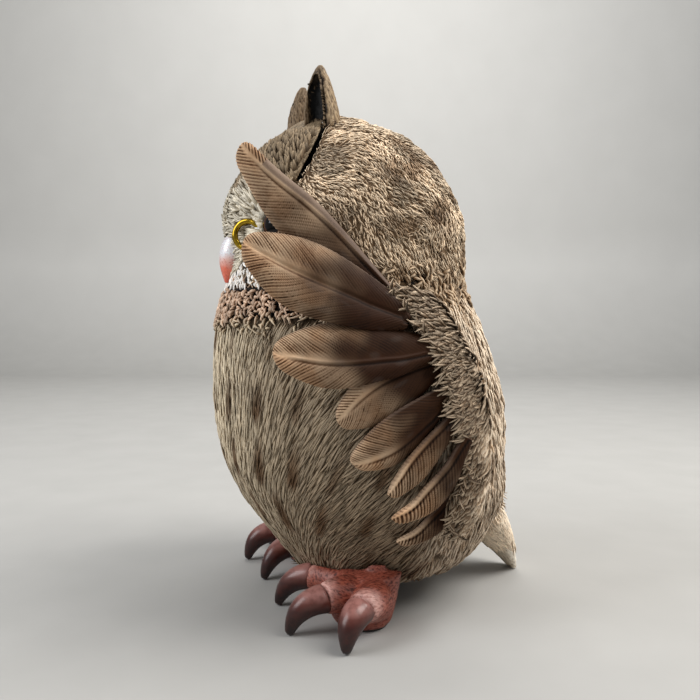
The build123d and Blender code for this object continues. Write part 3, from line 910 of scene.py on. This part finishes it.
def ear_tuft(side, outward):
    """A rolled tuft: dark inside its fold, with a pale band behind the fold and brown round it."""
    low, high = corners_of(f"ear_tuft_{side}")

    def fold(points, normals):
        _, back, height = ((points - low) / (high - low)).T
        outer = smooth(-0.2, 0.4, dot(normals, outward))
        hollow = smooth(0.1, 0.22, back) * (1 - smooth(0.44, 0.52, back)) * (1 - smooth(0.75, 0.95, height))
        band = smooth(0.46, 0.56, back) * (1 - smooth(0.84, 0.94, back))
        return dict(stain=hollow * outer, second=band * outer)

    def press(points, normals):
        return -2.0 * MM * fold(points, normals)["stain"][:, None] * normals

    carved_node(f"ear_tuft_{side}", f"ear_tuft_{side}_carved", tuft_paint, "ear_tufts", 0.35, lambda at: UP,
                1.3, (6, 1.3, 0.6), 24, fold, press=press)


ear_tuft("left", LEFT)
ear_tuft("right", -LEFT)


def tail_coats(points, normals):
    """A cream line along both edges."""
    low, high = corners_of("tail")
    aside = np.abs(points[:, 0] - (low[0] + high[0]) / 2)
    reach = (high[0] - low[0]) / 2 * (1 - 0.8 * smooth(low[1], high[1] + 6 * MM, points[:, 1]))
    return dict(second=smooth(reach - 3 * MM, reach - 1 * MM, aside))


carved_node("tail", "tail_plumage", tail_paint, "tail_plumage", 0.45, lambda at: -FRONT * 0.7 - UP, 1.6,
            (10, 1.8, 0.5), 25, tail_coats)


def rump_hairs():
    """Plumage that hangs from the back over the root of the tail."""
    rng = np.random.default_rng(28)
    points, quads = remeshed("tail", 0.7, 14)
    normals = normals_of(points, quads)
    tip = corners_of("tail")[1][1]
    chosen = scattered(points, rng, 1.4, 1.8)
    level = points[chosen, 2] + 0.35 * (tip - points[chosen, 1])
    chosen = chosen[smooth(16 * MM, 22 * MM, level) > rng.random(len(chosen))]
    place = points[chosen]
    along = -UP + 0.8 * unit((place - body_mid) * (1, 1, 0)) + rng.normal(0, 0.12, place.shape)
    made = curls(place, normals[chosen], along, (6, 0.95, 0.8), 0.1, rng, 4, 4, lift=-0.4)
    lay("rump_hairs", made, belly_paint, "belly_and_back", made.crest, second=1.0)


rump_hairs()


# ---------------------------------------------------------------- feet, claws, beak
def make_foot(side):
    """A leg with its three toes and claws."""
    claws = [f"{side}_claw_{toe}" for toe in ("inner", "middle", "outer")]
    leg_top = corners_of(f"{side}_foot")[1][2]

    # A pale pink painted highlight on each toe joint next to its claw.
    def knuckle_highlights(points, normals):
        near = np.zeros(len(points))
        for claw in claws:
            joint = centre_of(claw) - FRONT * 5 * MM + UP * 6 * MM
            near = np.maximum(near, 1 - smooth(2 * MM, 9 * MM, np.linalg.norm(points - joint, axis=1)))
        return dict(knuckle=0.85 * near)

    def leg_tuck(points, normals):
        """Narrows and lowers the top of the leg, which runs into the belly."""
        high = smooth(leg_top - 9 * MM, leg_top - 1 * MM, points[:, 2])[:, None]
        leg_axis = points[points[:, 2] > leg_top - 6 * MM].mean(0)
        return high * (0.45 * (leg_axis - points) * (1, 1, 0) - 4 * MM * UP)

    def wrinkle_flow(at):
        return np.cross(unit(at - centre_of(f"{side}_foot")), UP)

    carved_node(f"{side}_foot", f"{side}_foot_skin", skin_paint, "foot_skin", 0.5, wrinkle_flow, 1.1,
                (3, 1.0, 0.25), 26, knuckle_highlights, 14, leg_tuck)
    for claw in claws:
        low, high = corners_of(claw)
        points, quads = remeshed(claw, 0.4, 10)
        points = points + normals_of(points, quads) * 0.9 * MM
        points[:, 2] = np.maximum(points[:, 2], 0.2 * MM)
        run = smooth(0, 1, (high[2] - points[:, 2]) / (high[2] - low[2]))
        piece(f"{claw}_horn", points, quads, horn_paint, "claw_gloss", [claw], run=run)


make_foot("left")
make_foot("right")
piece("beak_gloss", *remeshed("beak", 0.3, 10), beak_gloss("beak_paint_with_painted_reflection"), "beak_gloss", ["beak"])


# ---------------------------------------------------------------- eyes and spectacles
def round_axes(node):
    """Centre, forward axis and radius of a round node, and how far its points are along the axis."""
    points, _ = node_arrays(node)
    centre = centre_of(node)
    flat = points - points.mean(0)
    axis = np.linalg.eigh(flat.T @ flat)[1][:, 0]
    axis = axis * np.sign(axis @ FRONT)
    radius = np.linalg.norm(np.cross(points - centre, axis), axis=1).max()
    return centre, axis, radius, (points - centre) @ axis


def dome(radius, bottom, top):
    """Outline of a glass eye, from the crown of its dome to the middle of its back."""
    rise = 0.47 * radius
    sphere = (radius ** 2 + rise ** 2) / (2 * rise)
    bend = np.linspace(0.02, math.asin(radius / sphere), 24)
    cap = np.stack([sphere * np.sin(bend), top - sphere * (1 - np.cos(bend))], -1)
    back = [(radius, bottom + 0.3 * MM), (radius - 0.3 * MM, bottom), (0.1 * MM, bottom)]
    return np.concatenate([cap, back])


def glass_eye(side):
    """A glass eye, its outline turned about its axis, with the white plumage that stands round it."""
    rng = np.random.default_rng(38)
    node = f"glass_eye_{side}"
    eye, axis, radius, heights = round_axes(node)
    each = 30
    place_turns = (np.arange(2 * each) * 2 * math.pi / each + rng.normal(0, 0.06, 2 * each))[:, None]
    out = spokes(axis, place_turns)
    ring = np.repeat((1.0, 1.3), each)[:, None] * radius
    place = eye + out * ring + axis * (heights.max() - np.repeat((5.2, 5.8), each)[:, None] * MM)
    made = curls(place, np.broadcast_to(axis, place.shape), out, (4.0, 1.0, 1.4), 0.15, rng, 8, 6, lift=1.2)
    lay(f"{node}_tufts", made, chin_paint, "face_plumage", made.crest, stain=0.6 * (made.run < 0.25))

    sides = 64
    turns = np.linspace(0, 2 * math.pi, sides, endpoint=False)[None, :, None]
    profile = dome(radius, heights.min(), heights.max())
    r, h = profile[:, 0][:, None, None], profile[:, 1][:, None, None]
    form = eye + r * spokes(axis, turns) + h * axis
    piece(f"{node}_dome", form.reshape(-1, 3), loft_quads(len(profile), sides), glass_paint, "eye_glass",
          [node], radius=np.repeat(profile[:, 0] / radius, sides))


def wire_loop(node, outward, sunk):
    """Round gold rim, a hair uneven as drawn wire is, with its outer half pressed into the plumage."""
    centre, axis, radius, heights = round_axes(node)
    wire = 1.25 * (heights.max() - heights.min()) / 2
    long_way, round_way = 96, 20
    a = np.linspace(0, 2 * math.pi, long_way, endpoint=False)[:, None, None]
    b = np.linspace(0, 2 * math.pi, round_way, endpoint=False)[None, :, None]
    spoke = spokes(axis, a)
    thick = wire * (1 + 0.03 * np.sin(5 * a + 1) + 0.02 * np.sin(11 * a))
    form = centre + spoke * (radius - wire + thick * np.cos(b)) + axis * thick * np.sin(b)
    form = form - axis * (sunk * MM + 1.2 * MM * (1 + dot(spoke, outward) * 1.2))[..., None]
    index = np.arange(long_way * round_way).reshape(long_way, round_way)
    onward = np.roll(index, -1, 0)
    quads = np.stack([index, onward, np.roll(onward, -1, 1), np.roll(index, -1, 1)], -1)
    piece(f"{node}_wire", form.reshape(-1, 3), quads.reshape(-1, 4), gold_paint, "gold_wire", [node])


def bridge_wire():
    """The wire between the rims, pressed down into the plumage over the beak."""
    points, quads = remeshed("spectacle_bridge", 0.3, 4)
    low, high = corners_of("spectacle_bridge")
    share = np.clip((high[0] - points[:, 0]) / (high[0] - low[0]), 0, 1)
    points = points - FRONT * ((0.3 + 2.6 * share + 2.2 * np.sin(math.pi * share)) * MM)[:, None]
    piece("spectacle_bridge_wire", points, quads, gold_paint, "gold_wire", ["spectacle_bridge"])


glass_eye("left")
glass_eye("right")
wire_loop("spectacle_rim_left", LEFT, 0.0)
wire_loop("spectacle_rim_right", -LEFT, 2.4)
bridge_wire()


# ---------------------------------------------------------------- curls standing proud of the castings
def round_neck(nodes, low, high, row, apart, start, end, rng):
    """Outermost points and normals of the nodes, round the neck between two heights and two angles, in
    degrees from the front. Row and apart, in mm, are the gaps between rows and within them."""
    trees = [tree_of(node) for node in nodes]
    radius = 50 * MM
    step = apart * MM / radius
    place, normal = [], []
    for height in np.arange(low, high, row * MM):
        for angle in np.arange(math.radians(start), math.radians(end), step):
            turn = angle + rng.normal(0, 0.2 * apart * MM / radius)
            way = Vector((math.sin(turn), -math.cos(turn), 0))
            far = Vector((body_mid[0], body_mid[1], height + rng.normal(0, 0.2 * (row * MM)))) + way * 0.1
            hits = [tree.ray_cast(far, -way, 0.1) for tree in trees]
            hits = [hit for hit in hits if hit[0] is not None]
            if hits:
                nearest = min(hits, key=lambda hit: hit[3])
                place.append(nearest[0])
                normal.append(nearest[1])
    return np.array(place), np.array(normal)


def ruff_curls():
    """Tight pinkish curls under the chin, from one shoulder round to the other."""
    rng = np.random.default_rng(31)
    place, normal = round_neck(["body_shell", "head_shell"], NECK - 18 * MM, NECK + 2.5 * MM, 1.3, 1.5,
                               -88, 88, rng)
    above = place[:, 2] - NECK + 12 * MM + 3 * MM * wobble(place, 9, 39)
    keep = above > rng.uniform(-5 * MM, 1.5 * MM, len(place))
    place, normal, above = place[keep], normal[keep], above[keep]
    along = -UP + rng.normal(0, 0.7, place.shape)
    made = curls(place, normal, along, (rng.uniform(2, 3.6, len(place)), 1.25, 1.3), 0.55, rng, 7, 6,
                 sink=0.35, blunt=0.6)
    lay("ruff_curls", made, ruff_paint, "belly_and_back", made.crest * (0.55 + 0.45 * made.run),
        made.tone + 0.3 * wobble(place, 6, 29)[made.which],
        second=(1 - smooth(-4 * MM, 4 * MM, above))[made.which])


def chin_tufts():
    """Short white plumage with black flecks between the beak and the ruff."""
    rng = np.random.default_rng(37)
    place, normal = round_neck(["head_shell", "face_mask"], NECK + 3 * MM, beak_high[2] - 3 * MM, 1.5, 1.6,
                               -66, 66, rng)
    side = (place[:, 0] - body_mid[0]) / (20 * MM)
    along = -UP + LEFT * side[:, None] + rng.normal(0, 0.25, place.shape)
    made = curls(place, normal, along, (4.6, 1.1, 1.2), 0.1, rng, 7, 6, sink=0.3, lift=0.5)
    fleck = (rng.random(len(place)) < 0.1).astype(float)
    lay("chin_tufts", made, chin_paint, "face_plumage", made.crest * (0.5 + 0.5 * made.run),
        stain=fleck[made.which])


def nape_curls():
    """Lumpy curls that hang from the nape over the shoulders."""
    rng = np.random.default_rng(33)
    place, normal = round_neck(["body_shell", "head_shell"], NECK - 8 * MM, NECK + 10 * MM, 1.7, 1.9,
                               76, 284, rng)
    level = (place[:, 2] - NECK) / (9 * MM)
    keep = rng.random(len(place)) > np.abs(level) ** 2
    place, normal = place[keep], normal[keep]
    place = place + rng.normal(0, 0.6 * MM, place.shape)
    along = -UP + rng.normal(0, 0.5, place.shape)
    made = curls(place, normal, along, (4.2, 1.2, 1.3), 0.4, rng, 7, 6, sink=0.4, lift=-0.3)
    lay("nape_curls", made, head_paint, "head_plumage", made.crest * (0.6 + 0.35 * made.run), stain=0.05)


def disc_tufts():
    """Pointed tufts leading out from each eye over the facial disc."""
    rng = np.random.default_rng(32)
    tree, skull = tree_of("face_mask"), tree_of("head_shell")
    groups = []
    for side, node in ((1, "glass_eye_left"), (-1, "glass_eye_right")):
        eye, axis, radius, _ = round_axes(node)
        found = []
        for ring in np.arange(1.08, 5.6, 0.25):
            for angle in np.arange(0, 2 * math.pi, 1.7 * MM / (ring * radius)):
                spoke = spokes(axis, angle + rng.normal(0, 0.05))
                at = eye + spoke * radius * ring * rng.uniform(0.95, 1.05)
                found.append(tree.find_nearest(Vector(at))[:2])
        place, normal = np.array([at for at, _ in found]), np.array([facing for _, facing in found])
        on_side = (side * place[:, 0] > -1 * MM) & (np.abs(dot(place - eye, axis)) < 34 * MM)
        on_beak = (np.abs(place[:, 0] - body_mid[0]) < 7 * MM) & (place[:, 2] < beak_high[2] + 1 * MM)
        to_skull = np.array([skull.find_nearest(Vector(at))[3] for at in place])
        on_seam = (place[:, 2] > beak_high[2] + 15 * MM) & (to_skull < 0.8 * MM)
        keep = on_side & ~on_beak & ~on_seam & (dot(normal, FRONT) > -0.3)
        near_eye = 1 - smooth(1.3, 2.6, np.linalg.norm(place - eye, axis=1) / radius)
        groups.append((place[keep], normal[keep], unit(place[keep] - eye), near_eye[keep]))
    place, normal, along, near_eye = (np.concatenate(parts) for parts in zip(*groups))
    brow = brow_share(place)
    along = along + rng.normal(0, 0.15, along.shape)
    along = along * (1 - 0.6 * brow[:, None]) + (UP * 0.6 + FRONT * 0.3) * brow[:, None]
    made = curls(place, normal, along, (7.5 - 2.5 * brow, 1.2 + 0.3 * brow, 1.3 + 0.3 * brow), 0.15, rng,
                 7, 6, sink=0.3, lift=1.6)
    lay("disc_tufts", made, face_paint, "face_plumage", np.clip(made.crest * (0.5 + 0.6 * made.run), 0, 1),
        made.tone + 0.8 * near_eye[made.which], second=brow[made.which])


def covert_curls(node, name, outward, fan, seed):
    """Comb-like curls that lie from the coverts over the roots of the flight feathers."""
    rng = np.random.default_rng(seed)
    points, quads = remeshed(node, 0.6)
    normals = normals_of(points, quads)
    chosen = scattered(points, rng, 1.7)
    chosen = chosen[dot(normals[chosen], outward) > -0.3]
    place, normal = points[chosen], normals[chosen]
    along = unit(place - fan) + rng.normal(0, 0.16, place.shape)
    behind = behind_band(place)
    made = curls(place, normal, along, (6.0, 1.1 + 0.2 * behind, 1.25 - 0.45 * behind), 0.3, rng, 8, 6,
                 sink=0.5 * behind[:, None], blunt=0.45, lift=-1.3)
    crest = np.maximum(made.crest ** 1.3 * (0.25 + 0.9 * made.run), 0.35 * behind[made.which])
    lay(name, made, covert_paint, "wing_coverts", np.clip(crest, 0, 1), second=behind[made.which])


ruff_curls()
chin_tufts()
nape_curls()
disc_tufts()
covert_curls("left_wing_arm", "left_covert_curls", LEFT, left_fan, 34)
covert_curls("right_wing_coverts", "right_covert_curls", -LEFT, right_fan, 35)

# CAD nodes that stay as they are, hidden inside or underneath
HIDDEN = {rubber_paint: ["pour_hole_plug"], felt_paint: ["left_foot_pad", "right_foot_pad"],
          steel_paint: ["tail_dowel", "leg_dowel_left", "leg_dowel_right", "wing_dowel_left",
                        "wing_dowel_right"]}
for paint, nodes in HIDDEN.items():
    for node in nodes:
        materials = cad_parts[node].data.materials
        materials.clear()
        materials.append(paint)


# ---------------------------------------------------------------- floor, light and camera
CAMERA_PLACE = (0.3137, -0.10703, 0.1150)  # at the owl's left, a little before it, level with its breast
CAMERA_WAY = np.array((-0.9556, 0.2922, -0.0379))
LENS = 38.93                               # mm, for a sensor 36 mm wide


def make_stage():
    """A floor that curves up into a wall behind the owl."""
    size, bend, height, half_width = 1.6, 0.35, 1.4, 2.2
    curve = [(size - bend + bend * math.sin(angle), bend - bend * math.cos(angle))
             for angle in np.linspace(0, math.pi / 2, 12)]
    profile = [(-size, 0.0), *curve, (size, height)]
    back = unit(CAMERA_WAY * (1, 1, 0))
    wide = np.array((-back[1], back[0], 0))
    points = [tuple(back * distance + wide * reach + UP * z) for distance, z in profile
              for reach in (-half_width, half_width)]
    faces = [(2 * k, 2 * k + 1, 2 * k + 3, 2 * k + 2) for k in range(len(profile) - 1)]
    mesh = bpy.data.meshes.new("studio_floor")
    mesh.from_pydata(points, [], faces)
    mesh.shade_smooth()
    paint = Paint("studio_floor", roughness=0.9)
    wall = paint.mix(paint.noise(12, 3), colour("c3c2bf"), colour("cac9c6"))
    floor = paint.mix(paint.noise(25, 4), colour("a2a19e"), colour("adaca9"))
    paint.set("Base Color", paint.mix(paint.scale(paint.height(), 0.0, 1.0, 0.0, 0.25), floor, wall))
    mesh.materials.append(paint.material)
    floor = add_object("studio_floor", mesh)


def aimed(name, data, place, way):
    """Adds a light or camera that looks along a way."""
    made = add_object(name, data)
    made.location = place
    made.rotation_mode = "QUATERNION"
    made.rotation_quaternion = Vector(way).to_track_quat("-Z", "Y")
    return made


def add_light(name, place, size, power, tint, target):
    """Square soft light aimed at a target."""
    lamp = bpy.data.lights.new(name, "AREA")
    lamp.size = size
    lamp.energy = power
    lamp.color = tint
    aimed(name, lamp, place, Vector(target) - Vector(place))


make_stage()
add_light("key", (0.22, 0.42, 0.72), 0.55, 7.5, (1.0, 0.97, 0.93), body_mid + UP * 0.03)
add_light("fill", (0.05, -0.7, 0.55), 0.5, 4.5, (0.97, 0.98, 1.0), body_mid + UP * 0.05)
add_light("wall_wash", (-0.5, 0.2, 1.3), 0.8, 17.0, (1.0, 0.99, 0.97), np.array((-1.5, 0.46, 0.35)))
camera = bpy.data.cameras.new("camera")
camera.sensor_width = 36.0
camera.lens = LENS
camera.clip_start = 0.01
bpy.context.scene.camera = aimed("camera", camera, CAMERA_PLACE, CAMERA_WAY)
world = bpy.data.worlds.new("studio")
world.use_nodes = True
sky = world.node_tree.nodes["Background"].inputs
sky["Color"].default_value = (0.86, 0.88, 0.9, 1)
sky["Strength"].default_value = 0.36
bpy.context.scene.world = world
bpy.context.scene.view_settings.view_transform = "Standard"
